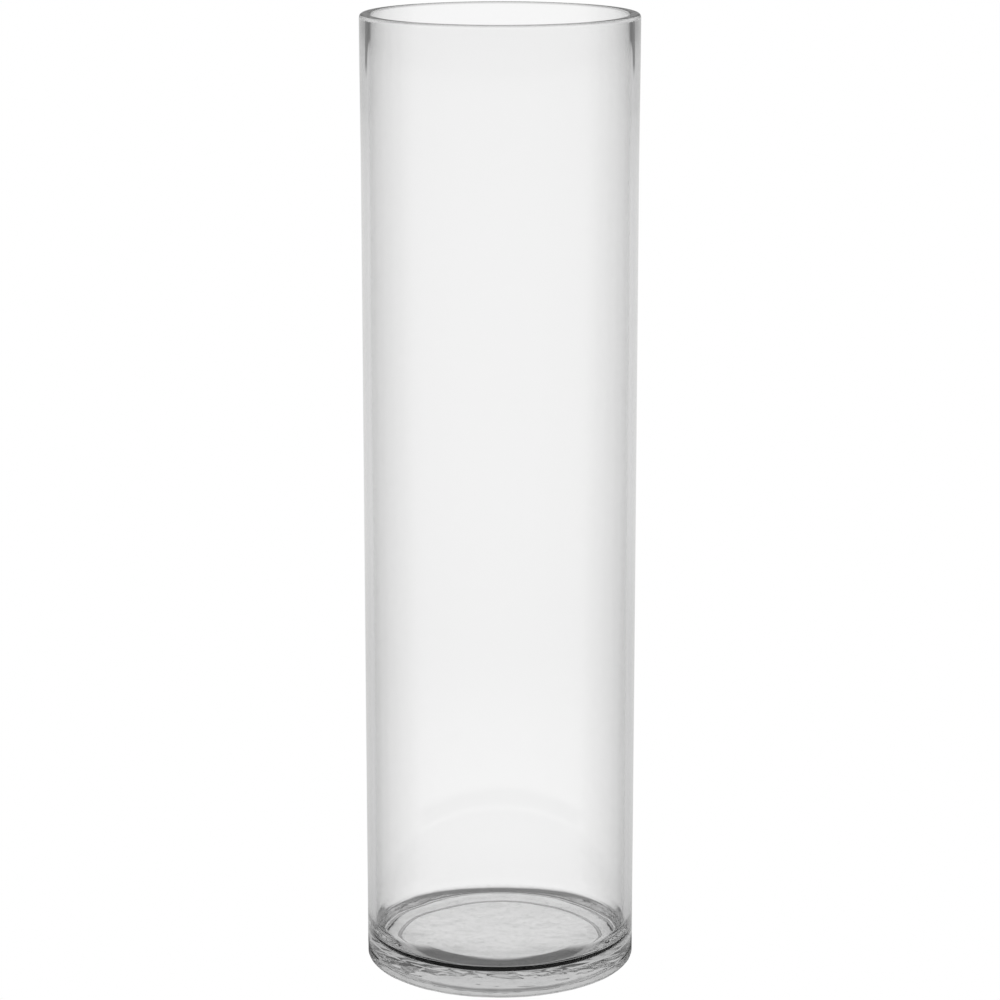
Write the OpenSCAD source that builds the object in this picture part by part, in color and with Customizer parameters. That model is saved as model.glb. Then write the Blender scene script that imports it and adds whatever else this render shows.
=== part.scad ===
// Glass cylinder vase: one piece of clear glass with a thick base, straight walls and a ground, polished rim.
// The origin is the centre of the ring that it stands on, +Z points up out of the mouth. Lengths are in mm.

/* [Body] */
// Outer diameter of the straight wall
body_d = 100.6; // [80:0.1:160]
// Height from the resting ring to the rim
body_h = 355.6; // [240:0.1:560]
// Thickness of the straight wall
wall = 3.1; // [2.4:0.1:4]

/* [Rim] */
// Thickness of the wall at the mouth
rim_wall = 4.5; // [4.1:0.1:6]
// How far the rim stands out from the straight wall
rim_flare = 0.25; // [0.05:0.05:0.6]
// Height of the straight land inside the mouth
land_h = 3; // [2:0.5:10]
// Height over which the wall thins from the land to the straight wall
taper_h = 57; // [20:1:80]
// Radius of the two polished edges of the rim
rim_edge = 1.4; // [0.4:0.1:1.8]

/* [Base] */
// Thickness of the base
base_t = 8.4; // [7:0.1:16]
// Radius of the bend by which the straight wall starts to lean in towards the floor
knee_r = 10; // [2:0.5:30]
// How far the wall leans in there, in degrees
lean = 13; // [2:0.5:35]
// Length of the straight leaning part under that bend
lean_l = 2.6; // [0.2:0.1:6]
// Radius of the fillet between the leaning part and the floor
floor_fillet = 5.8; // [2:0.1:8]
// Radius of the heel, where the outside meets the resting ring
heel = 1.5; // [0.8:0.1:3]
// Width of the flat ring that the vase stands on
ring_w = 9.3; // [6:0.1:14]
// Height of the hollow under the base
hollow_h = 0.8; // [0.4:0.1:2]
// Width of the sloping edge of that hollow
hollow_slope = 2; // [1:0.5:4]

/* [Hidden] */
outer_r = body_d / 2;
inner_r = outer_r - wall;
rim_r = outer_r + rim_flare;
mouth_r = rim_r - rim_wall;
hollow_r = outer_r - heel - ring_w;
land_z = body_h - land_h;
taper_z = land_z - taper_h;
fillet_z = base_t + floor_fillet;
knee_x = inner_r - knee_r;
knee_z = fillet_z + (knee_r - floor_fillet) * sin(lean) + lean_l * cos(lean);
fillet_x = knee_x + (knee_r - floor_fillet) * cos(lean) - lean_l * sin(lean);
lean_foot = [fillet_x + floor_fillet * cos(lean), fillet_z - floor_fillet * sin(lean)];
lean_head = [knee_x + knee_r * cos(lean), knee_z - knee_r * sin(lean)];
taper_steps = 10;
over = 1;
round_fn = 180;

// Points of a smooth S between two radii, upright at both ends, from the top of the straight wall to the land
function flare(r_low, r_high) =
    [for (i = [0:taper_steps]) let (t = i / taper_steps)
        [r_low + (r_high - r_low) * (1 - cos(180 * t)) / 2, taper_z + taper_h * t]];

// Points of a wall that leans more and more from upright, over the same height
function swell(r_low, r_high) =
    [for (i = [0:taper_steps]) let (t = i / taper_steps)
        [r_low + (r_high - r_low) * t * t, taper_z + taper_h * t]];

// Half outline of the outside: heel, straight wall, slight flare and the rim's outer edge
module outer_outline() {
    square([outer_r - heel, body_h - rim_edge]);
    translate([0, heel]) square([outer_r, taper_z - heel]);
    translate([outer_r - heel, heel]) circle(heel);
    polygon(concat([[0, taper_z]], flare(outer_r, rim_r), [[0, land_z]]));
    translate([0, land_z]) square([rim_r, land_h - rim_edge]);
    translate([0, land_z]) square([rim_r - rim_edge, land_h]);
    translate([rim_r - rim_edge, body_h - rim_edge]) circle(rim_edge);
}

// Half outline of the space inside, open above the mouth, with the fillet and the bend rounding its corners
module inner_outline() {
    polygon(concat(
        [[0, base_t], [fillet_x, base_t], lean_foot, lean_head, [inner_r, knee_z]],
        swell(inner_r, mouth_r),
        [[mouth_r, body_h + over], [0, body_h + over]]
    ));
    intersection() {
        translate([fillet_x, fillet_z]) circle(floor_fillet);
        translate([fillet_x - over, 0]) square([floor_fillet + 2 * over, fillet_z]);
    }
    intersection() {
        translate([knee_x, knee_z]) circle(knee_r);
        translate([knee_x, fillet_z]) square([knee_r + over, knee_z + over - fillet_z]);
    }
}

// Half outline of the material to take off the mouth's inner edge to round it
module mouth_edge() {
    difference() {
        translate([mouth_r - over, body_h - rim_edge]) square([rim_edge + over, rim_edge + over]);
        translate([mouth_r + rim_edge, body_h - rim_edge]) circle(rim_edge);
    }
}

// Half outline of the shallow hollow under the base, inside the resting ring
module hollow_outline() {
    polygon([
        [0, -over], [hollow_r, -over], [hollow_r, 0],
        [hollow_r - hollow_slope, hollow_h], [0, hollow_h]
    ]);
}

module vase() {
    color([0.86, 0.88, 0.88, 0.45])
        rotate_extrude($fn = round_fn)
            difference() {
                outer_outline();
                inner_outline();
                mouth_edge();
                hollow_outline();
            }
}

vase();
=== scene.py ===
"""Looks of the glass cylinder vase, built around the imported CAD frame. Metres, +Z up, origin under the foot."""
import math

import bpy
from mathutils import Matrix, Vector, noise


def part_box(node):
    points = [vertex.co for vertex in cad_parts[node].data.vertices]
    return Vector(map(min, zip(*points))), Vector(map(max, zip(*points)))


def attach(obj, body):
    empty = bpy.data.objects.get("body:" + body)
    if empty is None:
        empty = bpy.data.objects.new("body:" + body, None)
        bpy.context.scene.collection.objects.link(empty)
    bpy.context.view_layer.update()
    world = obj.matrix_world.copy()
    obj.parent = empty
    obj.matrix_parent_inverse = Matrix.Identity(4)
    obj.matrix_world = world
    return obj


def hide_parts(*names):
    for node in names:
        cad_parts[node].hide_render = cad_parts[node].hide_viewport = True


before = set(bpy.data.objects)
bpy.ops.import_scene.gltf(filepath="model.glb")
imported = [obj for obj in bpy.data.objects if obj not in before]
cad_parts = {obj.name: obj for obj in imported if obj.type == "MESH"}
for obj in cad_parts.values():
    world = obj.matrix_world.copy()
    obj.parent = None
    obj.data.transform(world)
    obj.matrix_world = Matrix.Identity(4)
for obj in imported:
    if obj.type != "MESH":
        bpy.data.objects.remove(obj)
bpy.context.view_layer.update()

MM = 0.001

# Height and radius come from the CAD node's box, the radius a hair inside it. The rest are the glass's own sizes
LOW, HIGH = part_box("vase")
HEIGHT = HIGH[2] - LOW[2]
RIM_FLARE = 0.25 * MM
HAIR = 0.02 * MM
RIM_R = (HIGH[0] - LOW[0]) / 2 - HAIR
OUTER_R = RIM_R - RIM_FLARE

WALL = 3.1 * MM
INNER_R = OUTER_R - WALL
RIM_WALL = 4.5 * MM
MOUTH_R = RIM_R - RIM_WALL
RIM_EDGE = 1.4 * MM
LAND_H = 1.5 * MM
TAPER_H = 58.5 * MM

BASE_T = 8.4 * MM
KNEE_R = 10 * MM
LEAN = 13
CONE_L = 2.6 * MM
FLOOR_FILLET = 5.8 * MM
HEEL = 1.5 * MM
RING_W = 9.3 * MM
HOLLOW_H = 0.8 * MM
HOLLOW_SLOPE = 2 * MM

# How far the glass strays into the turned shape: everywhere in slow waves, and in close ripples part by part
WAVE = 0.03 * MM
WAVE_L = (24 * MM, 24 * MM, 90 * MM)
FOOT_RIPPLE = 0.16 * MM
CORNER_RIPPLE = 0.05 * MM
FLOOR_RIPPLE = 0.05 * MM
RIPPLE_L = 8 * MM
RIPPLE_TOP = 9 * MM
# Close rings that the mould left low down on both sides of the wall, up to the top height given here:
# deepest at the middle height outside, and fading out upward inside
RING_RIPPLE = 0.08 * MM
RING_RIPPLE_L = (70 * MM, 70 * MM, 5 * MM)
RING_RIPPLE_TOP = 48 * MM
RING_MID = 22 * MM
# Half as deep a ripple rides on each ripple, at this part of its length, and the sum is lifted by enough that
# it hardly ever goes below zero
FINE_PART = 0.4
RIPPLE_LIFT = 1.2

# The studio as mirrored light finds it: above the horizon by the upward part of its direction,
WALL_LIGHT = [(0.0, 0.33), (0.12, 0.33), (0.25, 0.62), (0.5, 0.6), (0.8, 0.35), (1.0, 0.35)]
# and on the open floor by distance from the vase's axis
FLOOR_LIGHT = [(0.0, 0.5), (0.06, 0.5), (0.11, 0.65), (0.3, 0.72), (0.8, 0.8), (1.6, 0.8), (3.0, 0.75),
               (6.0, 0.74), (30.0, 0.35)]
# Painted dark reflection: the floor's mirrored light is darkened close by, in front of the vase and beside it: by
# distance, and by how squarely behind a place is
DARK_REFLECTION_REACH = [(0.0, 0.0), (0.06, 0.0), (0.068, 0.9), (0.096, 0.9), (0.11, 0.0), (0.2, 0.0)]
DARK_REFLECTION_SIDE = [(-1.0, 1.0), (0.0, 1.0), (0.4, 0.0), (1.0, 0.0)]
# Two dark flags stand far behind the vase, left and right: by how squarely behind it a direction runs,
FLAG_CORNER = 0.885
FLAG_EDGE = [(0.0, 0.0), (0.45, 0.0), (0.6, 1.0), (0.86, 1.0), (FLAG_CORNER, 0.0), (1.0, 0.0)]
# by distance on the floor, and by the upward part of a direction above the horizon
FLAG_REACH = [(0.0, 0.0), (8.0, 0.0), (12.0, 0.85), (16.0, 0.85)]
FLAG_TOP = [(0.0, 0.85), (0.1, 0.85), (0.16, 0.0), (1.0, 0.0)]
# Both flags get narrower lower down, drawn in towards their inner edges: by how many times, on the floor and above
FLAG_TAPER_LOW = [(8.0, 7.0), (30.0, 3.0)]
FLAG_TAPER_HIGH = [(0.0, 3.0), (0.04, 1.0), (1.0, 1.0)]
# Shade on the floor under the foot, for straight light, by distance from the axis,
FOOT_SHADE = [(0.0, 0.0), (10 * MM, 0.0), (20 * MM, 0.14), (26.8 * MM, 0.16), (29.8 * MM, 0.88), (38 * MM, 0.88),
              (40 * MM, 0.6), (60 * MM, 0.6)]
# and how much of it there is in each direction from the axis, all of it in front and none behind
FOOT_SIDE = [(-1.0, 1.0), (-0.65, 1.0), (-0.2, 0.0), (1.0, 0.0)]
# Light on the floor by distance from the heel: a soft contact shade, and then a little more than full light
SHADE_LIGHT = [(0.0, 0.15), (5 * MM, 0.2), (7 * MM, 0.9), (12 * MM, 1.03), (100 * MM, 1.05), (400 * MM, 1.0)]
# How far the floor lies below the foot, so that the two never touch
FLOOR_GAP = 0.3 * MM
FLOOR_SIZE = 60

# What the glass lets through, by how slanted the light meets it: a slight grey seen squarely, and painted shade
# that darkens it toward its edges where it is seen at a slant
GREY_AND_SLANT_SHADE = [(0.0, 0.957), (0.18, 0.948), (0.25, 0.935), (0.32, 0.885), (0.4, 0.838), (0.515, 0.775),
             (0.625, 0.705), (0.77, 0.6), (1.0, 0.5)]
# The ground rim lets less through than the rest, by the height below its top
RIM_TINT = [(0.0, 0.6), (0.25 * MM, 0.62), (0.9 * MM, 1.0), (4 * MM, 1.0)]
# Seeds and cords in the thick base let less through: by a fine noise, up to just over the vase's inner floor only
GRAIN_SCALE = 450
GRAIN_DETAIL = 5
GRAIN_ROUGHNESS = 0.65
GRAIN_TINT = [(0.0, 0.78), (0.36, 0.83), (0.48, 1.0), (1.0, 1.0)]
GRAIN_TOP = 9 * MM

GLASS_IOR = 1.51

# The camera, on the vase's scale: how far before the axis and how high, and how many degrees it looks down
CAMERA_BACK, CAMERA_UP = 24.01 * OUTER_R, 9.17 * OUTER_R
CAMERA_DOWN = 13.26
CAMERA_LENS, CAMERA_SENSOR = 120.7, 36
# Light is mirrored many times over inside the thick base before it comes out
BOUNCES = 64

SEGMENTS = 320
ARC_ROWS = 12
WALL_ROWS = 20
FLAT_ROWS = 38
TAPER_ROWS = 14
RING_ROWS = 26
LAND_ROWS = 2
# Points closer than this are one point, and a normal is level when its level part is over this
NEAR = 0.004 * MM
LEVEL = 0.9


def eased(a, b, rows):
    """Values from a to b, both included, packed close together at the two ends."""
    return [a + (b - a) * (1 - math.cos(math.pi * i / rows)) / 2 for i in range(rows + 1)]


def arc(r, z, radius, start, end):
    """Points of an arc about (r, z), from one angle to another in degrees, both included."""
    angles = [math.radians(start + (end - start) * i / ARC_ROWS) for i in range(ARC_ROWS + 1)]
    return [(r + radius * math.cos(t), z + radius * math.sin(t)) for t in angles]


def upright(r, z_a, z_b):
    """A straight upright wall."""
    return [(r, z) for z in eased(z_a, z_b, WALL_ROWS)]


def taper(r_a, z_a, r_b, z_b):
    """A smooth S between two radii, upright at both ends."""
    steps = [i / TAPER_ROWS for i in range(TAPER_ROWS + 1)]
    return [(r_a + (r_b - r_a) * (1 - math.cos(math.pi * t)) / 2, z_a + (z_b - z_a) * t) for t in steps]


def swell(r_a, z_a, r_b, z_b):
    """A wall that leans more and more from upright at its first radius to its second, its rows closest there."""
    steps = [math.sin(math.pi / 2 * i / TAPER_ROWS) for i in range(TAPER_ROWS + 1)]
    return [(r_a + (r_b - r_a) * t * t, z_a + (z_b - z_a) * t) for t in steps]


def slope(r_a, z_a, r_b, z_b):
    """A smooth S between two heights, level at both ends."""
    steps = [i / TAPER_ROWS for i in range(TAPER_ROWS + 1)]
    return [(r_a + (r_b - r_a) * t, z_a + (z_b - z_a) * (1 - math.cos(math.pi * t)) / 2) for t in steps]


def outline():
    """Half section of the glass, from the middle of the underside round to the middle of the floor.

    Each point is (radius, height, depth of its ripple, lengths of its ripple)."""
    land_z = HEIGHT - LAND_H
    taper_z = land_z - TAPER_H
    ring_out = OUTER_R - HEEL
    hollow_r = ring_out - RING_W
    fillet_z = BASE_T + FLOOR_FILLET
    lean = math.radians(LEAN)
    knee_z = fillet_z + (KNEE_R - FLOOR_FILLET) * math.sin(lean) + CONE_L * math.cos(lean)
    fillet_r = INNER_R - KNEE_R + (KNEE_R - FLOOR_FILLET) * math.cos(lean) - CONE_L * math.sin(lean)
    rim_top = HEIGHT - RIM_EDGE
    under = [
        [(r, HOLLOW_H) for r in eased(0, hollow_r - HOLLOW_SLOPE, FLAT_ROWS)],
        slope(hollow_r - HOLLOW_SLOPE, HOLLOW_H, hollow_r, 0),
        [(r, 0) for r in eased(hollow_r, ring_out, ARC_ROWS)],
        arc(ring_out, HEEL, HEEL, -90, 0),
        [(OUTER_R, z) for z in eased(HEEL, RIPPLE_TOP, ARC_ROWS)],
    ]
    outer_rings = [[(OUTER_R, z) for z in eased(RIPPLE_TOP, RING_RIPPLE_TOP, RING_ROWS)]]
    walls = [
        upright(OUTER_R, RING_RIPPLE_TOP, taper_z),
        taper(OUTER_R, taper_z, RIM_R, land_z),
        [(RIM_R, z) for z in eased(land_z, rim_top, LAND_ROWS)],
        arc(RIM_R - RIM_EDGE, rim_top, RIM_EDGE, 0, 90),
        arc(MOUTH_R + RIM_EDGE, rim_top, RIM_EDGE, 90, 180),
        [(MOUTH_R, z) for z in eased(rim_top, land_z, LAND_ROWS)],
        swell(INNER_R, taper_z, MOUTH_R, land_z)[::-1],
        upright(INNER_R, taper_z, RING_RIPPLE_TOP),
    ]
    inner_rings = [[(INNER_R, z) for z in eased(RING_RIPPLE_TOP, knee_z, RING_ROWS)]]
    corner = [
        arc(INNER_R - KNEE_R, knee_z, KNEE_R, 0, -LEAN),
        arc(fillet_r, fillet_z, FLOOR_FILLET, -LEAN, -90),
    ]
    inside = [[(r, BASE_T) for r in eased(fillet_r, 0, FLAT_ROWS)]]
    close = RIPPLE_L * Vector((1, 1, 1))
    rings = Vector(RING_RIPPLE_L)
    rippled = ((under, FOOT_RIPPLE, close), (outer_rings, RING_RIPPLE, rings), (walls, 0, close),
               (inner_rings, RING_RIPPLE, rings), (corner, CORNER_RIPPLE, close), (inside, FLOOR_RIPPLE, close))
    points = [(r, z, ripple, size) for parts, ripple, size in rippled for part in parts for r, z in part]
    kept = [points[0]]
    for p in points[1:]:
        if math.dist(p[:2], kept[-1][:2]) > NEAR:
            kept.append(p)
    return kept


def scaled(place, size):
    """A place counted in lengths along each axis."""
    return Vector([c / s for c, s in zip(place, size)])


def strayed(points, i, turn):
    """Point i of the outline at a turn about the axis, moved into the glass by the waves and ripples there."""
    r, z, ripple, size = points[i]
    (r_a, z_a), (r_b, z_b) = points[max(i - 1, 0)][:2], points[min(i + 1, len(points) - 1)][:2]
    length = math.hypot(r_b - r_a, z_b - z_a)
    into_r, into_z = (z_a - z_b) / length, (r_b - r_a) / length
    place = Vector((r * math.cos(turn), r * math.sin(turn), z))
    fade = 1
    if into_r < -LEVEL:
        foot = max(0, RIPPLE_TOP - z) / RIPPLE_TOP
        fade = min(1, foot + max(0, 1 - abs(z - RING_MID) / (RING_RIPPLE_TOP - RING_MID)))
    elif into_r > LEVEL:
        fade = max(0, 1 - z / RING_RIPPLE_TOP)
    wave = noise.noise(scaled(place, WAVE_L))
    close = noise.noise(scaled(place, size)) + 0.5 * noise.noise(scaled(place, size * FINE_PART))
    depth = WAVE * (1 + wave) / 2 + ripple * fade * (RIPPLE_LIFT + close) / 2
    r += depth * into_r
    return r * math.cos(turn), r * math.sin(turn), z + depth * into_z


def revolve(name, points):
    """A closed mesh turned from a half outline whose two ends lie on the axis."""
    rings = range(1, len(points) - 1)
    turns = [2 * math.pi * i / SEGMENTS for i in range(SEGMENTS)]
    verts = [strayed(points, i, t) for i in rings for t in turns]
    bottom, top = len(verts), len(verts) + 1
    verts += [(0, 0, points[0][1]), (0, 0, points[-1][1])]
    faces = []
    for row in range(len(rings) - 1):
        for i in range(SEGMENTS):
            j = (i + 1) % SEGMENTS
            a, b = row * SEGMENTS, (row + 1) * SEGMENTS
            faces.append((a + i, a + j, b + j, b + i))
    last = (len(rings) - 1) * SEGMENTS
    for i in range(SEGMENTS):
        j = (i + 1) % SEGMENTS
        faces.append((bottom, j, i))
        faces.append((top, last + i, last + j))
    mesh = bpy.data.meshes.new(name)
    mesh.from_pydata(verts, [], faces)
    mesh.validate()
    mesh.update()
    mesh.shade_smooth()
    piece = bpy.data.objects.new(name, mesh)
    bpy.context.collection.objects.link(piece)
    return piece


def glass():
    """Clear glass with painted shade where it is seen at a slant, and letting less through on the ground rim and in
    the base.
    """
    material = bpy.data.materials.new("clear_glass")
    material.use_nodes = True
    tree = material.node_tree
    nodes, links = tree.nodes, tree.links
    shader = nodes["Principled BSDF"]
    slant = nodes.new("ShaderNodeLayerWeight")
    slant.inputs["Blend"].default_value = 0.5
    place = nodes.new("ShaderNodeTexCoord")
    split = nodes.new("ShaderNodeSeparateXYZ")
    links.new(place.outputs["Object"], split.inputs[0])
    below_top = math_node(tree, "SUBTRACT", HEIGHT, split.outputs[2])
    # Painted shade: the glass darkens toward its edges where it is seen at a slant, times the ground rim's own loss
    tint_and_slant_shade = math_node(tree, "MULTIPLY", curve_node(tree, slant.outputs["Facing"], GREY_AND_SLANT_SHADE),
                     curve_node(tree, below_top, RIM_TINT))
    noisy = nodes.new("ShaderNodeTexNoise")
    noisy.inputs["Scale"].default_value = GRAIN_SCALE
    noisy.inputs["Detail"].default_value = GRAIN_DETAIL
    noisy.inputs["Roughness"].default_value = GRAIN_ROUGHNESS
    links.new(place.outputs["Object"], noisy.inputs["Vector"])
    in_base = math_node(tree, "LESS_THAN", split.outputs[2], GRAIN_TOP)
    grain = choose(tree, in_base, 1.0, curve_node(tree, noisy.outputs["Fac"], GRAIN_TINT))
    links.new(math_node(tree, "MULTIPLY", tint_and_slant_shade, grain), shader.inputs["Base Color"])
    shader.inputs["Transmission Weight"].default_value = 1
    shader.inputs["Roughness"].default_value = 0
    shader.inputs["IOR"].default_value = GLASS_IOR
    return material


def math_node(tree, operation, *values):
    """A math node fed by numbers or by other nodes' outputs; returns its output."""
    node = tree.nodes.new("ShaderNodeMath")
    node.operation = operation
    for slot, value in zip(node.inputs, values):
        if isinstance(value, (int, float)):
            slot.default_value = value
        else:
            tree.links.new(value, slot)
    return node.outputs[0]


def curve_node(tree, value, stops):
    """A level that changes along a value, given as (value, level) stops joined by smooth steps."""
    low, high = stops[0][0], stops[-1][0]
    along = math_node(tree, "DIVIDE", math_node(tree, "SUBTRACT", value, low), high - low)
    ramp = tree.nodes.new("ShaderNodeValToRGB")
    ramp.color_ramp.interpolation = "EASE"
    elements = ramp.color_ramp.elements
    while len(elements) < len(stops):
        elements.new(0.5)
    for element, (at, level) in zip(elements, stops):
        element.position = (at - low) / (high - low)
        element.color = (level, level, level, 1)
    tree.links.new(along, ramp.inputs[0])
    return ramp.outputs[0]


def choose(tree, test, if_false, if_true):
    """One of two values, by a test that gives 0 or 1."""
    node = tree.nodes.new("ShaderNodeMix")
    node.data_type = "FLOAT"
    for slot, value in zip((node.inputs[0], node.inputs[2], node.inputs[3]), (test, if_false, if_true)):
        if isinstance(value, (int, float)):
            slot.default_value = value
        else:
            tree.links.new(value, slot)
    return node.outputs[0]


def mirrored(tree):
    """1 for light that was mirrored inside or on the glass on its way, and 0 for what went straight through."""
    path = tree.nodes.new("ShaderNodeLightPath")
    return math_node(tree, "GREATER_THAN", path.outputs["Glossy Depth"], 0.5)


def seen_by_camera(tree):
    """1 for what the camera sees with nothing in between, else 0."""
    return tree.nodes.new("ShaderNodeLightPath").outputs["Is Camera Ray"]


def squarely_behind(tree, split):
    """1 for a level direction or place straight behind the vase, 0 beside it and -1 in front."""
    x, y = split.outputs[0], split.outputs[1]
    square = math_node(tree, "ADD", math_node(tree, "MULTIPLY", x, x), math_node(tree, "MULTIPLY", y, y))
    return math_node(tree, "DIVIDE", y, math_node(tree, "SQRT", square))


def drawn_in(tree, side, times):
    """How squarely behind a direction runs, spread from the flags' inner corner so that they come out narrower."""
    away = math_node(tree, "MULTIPLY", math_node(tree, "SUBTRACT", FLAG_CORNER, side), times)
    return math_node(tree, "SUBTRACT", FLAG_CORNER, away)


def dimmed(tree, light, depth, side, stops):
    """Light less what something dark takes: its depth where it lies, times its reach round the vase."""
    dark = math_node(tree, "MULTIPLY", depth, curve_node(tree, side, stops))
    return math_node(tree, "MULTIPLY", light, math_node(tree, "SUBTRACT", 1.0, dark))


def shine(tree, strength, shader, output):
    """Sends a strength to a white light shader and on to the tree's output."""
    light = tree.nodes.new(shader)
    light.inputs["Color"].default_value = (1, 1, 1, 1)
    tree.links.new(strength, light.inputs["Strength"])
    out = tree.nodes.new(output)
    tree.links.new(light.outputs[0], out.inputs[0])


def studio_walls():
    """A world that is white to the camera and to straight light, and greyer to mirrored light."""
    world = bpy.data.worlds.new("studio")
    world.use_nodes = True
    tree = world.node_tree
    tree.nodes.clear()
    bpy.context.scene.world = world
    place = tree.nodes.new("ShaderNodeTexCoord")
    split = tree.nodes.new("ShaderNodeSeparateXYZ")
    tree.links.new(place.outputs["Generated"], split.inputs[0])
    lift = split.outputs[2]
    side = drawn_in(tree, squarely_behind(tree, split), curve_node(tree, lift, FLAG_TAPER_HIGH))
    reflected = dimmed(tree, curve_node(tree, lift, WALL_LIGHT), curve_node(tree, lift, FLAG_TOP), side, FLAG_EDGE)
    strength = choose(tree, mirrored(tree), 1.0, reflected)
    strength = choose(tree, seen_by_camera(tree), strength, 1.0)
    shine(tree, strength, "ShaderNodeBackground", "ShaderNodeOutputWorld")


def studio_floor():
    """A white floor a little under the foot, with its shades for straight and for mirrored light."""
    bpy.ops.mesh.primitive_plane_add(size=FLOOR_SIZE, location=(0, 0, -FLOOR_GAP))
    floor = bpy.context.object
    floor.name = "floor"
    material = bpy.data.materials.new("floor_white")
    material.use_nodes = True
    tree = material.node_tree
    tree.nodes.clear()
    place = tree.nodes.new("ShaderNodeTexCoord")
    flat = tree.nodes.new("ShaderNodeVectorMath")
    flat.operation = "LENGTH"
    tree.links.new(place.outputs["Object"], flat.inputs[0])
    reach = flat.outputs["Value"]
    split = tree.nodes.new("ShaderNodeSeparateXYZ")
    tree.links.new(place.outputs["Object"], split.inputs[0])
    side = squarely_behind(tree, split)
    reflected = curve_node(tree, reach, FLOOR_LIGHT)
    flagged = drawn_in(tree, side, curve_node(tree, reach, FLAG_TAPER_LOW))
    reflected = dimmed(tree, reflected, curve_node(tree, reach, FLAG_REACH), flagged, FLAG_EDGE)
    # Painted dark reflection: a band of floor near the foot that is darker only to mirrored light
    reflected = dimmed(tree, reflected, curve_node(tree, reach, DARK_REFLECTION_REACH), side, DARK_REFLECTION_SIDE)
    shade = curve_node(tree, math_node(tree, "SUBTRACT", reach, OUTER_R), SHADE_LIGHT)
    open_floor = math_node(tree, "MULTIPLY", shade, choose(tree, mirrored(tree), 1.0, reflected))
    straight = dimmed(tree, 1.0, curve_node(tree, reach, FOOT_SHADE), side, FOOT_SIDE)
    under_foot = choose(tree, mirrored(tree), straight, 0.0)
    strength = choose(tree, math_node(tree, "LESS_THAN", reach, OUTER_R), open_floor, under_foot)
    strength = choose(tree, seen_by_camera(tree), strength, 1.0)
    shine(tree, strength, "ShaderNodeEmission", "ShaderNodeOutputMaterial")
    floor.data.materials.append(material)


def camera():
    """The photo's viewpoint: before the vase and above it, looking down."""
    data = bpy.data.cameras.new("camera")
    data.sensor_width = CAMERA_SENSOR
    data.lens = CAMERA_LENS
    data.clip_end = 100
    view = bpy.data.objects.new("camera", data)
    view.location = (0, -CAMERA_BACK, CAMERA_UP)
    view.rotation_euler = (math.radians(90 - CAMERA_DOWN), 0, 0)
    bpy.context.collection.objects.link(view)
    bpy.context.scene.camera = view


vase = revolve("vase_glass", outline())
vase.data.materials.append(glass())
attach(vase, "root")
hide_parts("vase")
studio_walls()
studio_floor()
camera()

scene = bpy.context.scene
scene.view_settings.view_transform = "Standard"
scene.view_settings.look = "None"
scene.cycles.max_bounces = BOUNCES
scene.cycles.glossy_bounces = BOUNCES
scene.cycles.transmission_bounces = BOUNCES
